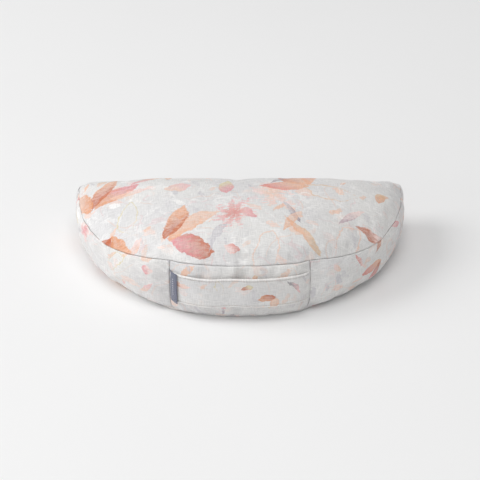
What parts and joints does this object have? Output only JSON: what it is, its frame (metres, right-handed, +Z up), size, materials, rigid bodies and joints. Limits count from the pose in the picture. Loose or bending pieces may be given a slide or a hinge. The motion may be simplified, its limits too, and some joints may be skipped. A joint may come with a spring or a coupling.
{
  "type": "half-moon meditation cushion",
  "caption": "Half-moon floor cushion filled with hulls, printed cover with a back zip and inner liner, and a carry handle across the curved front.",
  "frame": {"origin": "middle of the cushion's box, on the surface it rests on", "axes": "+X along the width, to the right of someone facing the handle; -Y towards the curved front with the handle, +Y towards the straight back with the zip; +Z up"},
  "size_m": [0.4282, 0.2287, 0.108],
  "materials": {
    "printed_fabric": "matt linen weave, off-white with soft floral print",
    "handle_fabric": "matt linen weave, off-white with soft floral print",
    "woven_label": "slate damask weave",
    "zip_tape": "fine woven tape",
    "zip_coil": "satin nylon",
    "zip_metal": "satin",
    "liner_cotton": "plain unbleached cotton",
    "buckwheat_hulls": "matt husks",
    "care_tape": "satin ribbon, blank"
  },
  "bodies": {
    "cushion": {"top_panel": "printed_fabric", "bottom_panel": "printed_fabric", "gusset_front": "printed_fabric", "gusset_left": "printed_fabric", "gusset_right": "printed_fabric", "gusset_back_lower": "printed_fabric", "gusset_back_upper": "printed_fabric", "handle_end_left": "handle_fabric", "handle_end_right": "handle_fabric", "label_tab": "woven_label", "zip_tape_lower": "zip_tape", "zip_tape_upper": "zip_tape", "zip_coil_lower": "zip_coil", "zip_coil_upper": "zip_coil", "zip_top_stops": "zip_metal", "zip_bottom_stop": "zip_metal", "liner_top": "liner_cotton", "liner_bottom": "liner_cotton", "liner_gusset": "liner_cotton", "liner_back": "liner_cotton", "liner_zip_tapes": "zip_tape", "liner_zip_coil_lower": "zip_coil", "liner_zip_coil_upper": "zip_coil", "liner_zip_top_stops": "zip_metal", "liner_zip_bottom_stop": "zip_metal", "hull_fill": "buckwheat_hulls", "care_label": "care_tape"},
    "strap": {"handle_strap": "handle_fabric"},
    "label": {"side_label": "woven_label"},
    "slider": {"zip_slider": "zip_metal"},
    "pull": {"zip_pull": "zip_metal"},
    "liner_slider": {"liner_zip_slider": "zip_metal"},
    "liner_pull": {"liner_zip_pull": "zip_metal"}
  },
  "joints": [
    {"name": "handle_lift", "type": "slide", "parent": "cushion", "child": "strap", "axis": [0, -1, 0], "range_m": [0, 0.02]},
    {"name": "label_flip", "type": "hinge", "parent": "cushion", "child": "label", "pos_m": [-0.0877, -0.10117, 0.042], "axis": [0, 0, -1], "range_deg": [0, 150]},
    {"name": "zip_slide", "type": "slide", "parent": "cushion", "child": "slider", "axis": [-1, 0, 0], "range_m": [0, 0.28]},
    {"name": "zip_pull_swing", "type": "hinge", "parent": "slider", "child": "pull", "pos_m": [0.1412, 0.11305, 0.038], "axis": [0, 0, 1], "range_deg": [0, 170]},
    {"name": "liner_zip_slide", "type": "slide", "parent": "cushion", "child": "liner_slider", "axis": [-1, 0, 0], "range_m": [0, 0.18]},
    {"name": "liner_pull_swing", "type": "hinge", "parent": "liner_slider", "child": "liner_pull", "pos_m": [0.0912, 0.10155, 0.038], "axis": [0, 0, 1], "range_deg": [0, 8]}
  ]
}
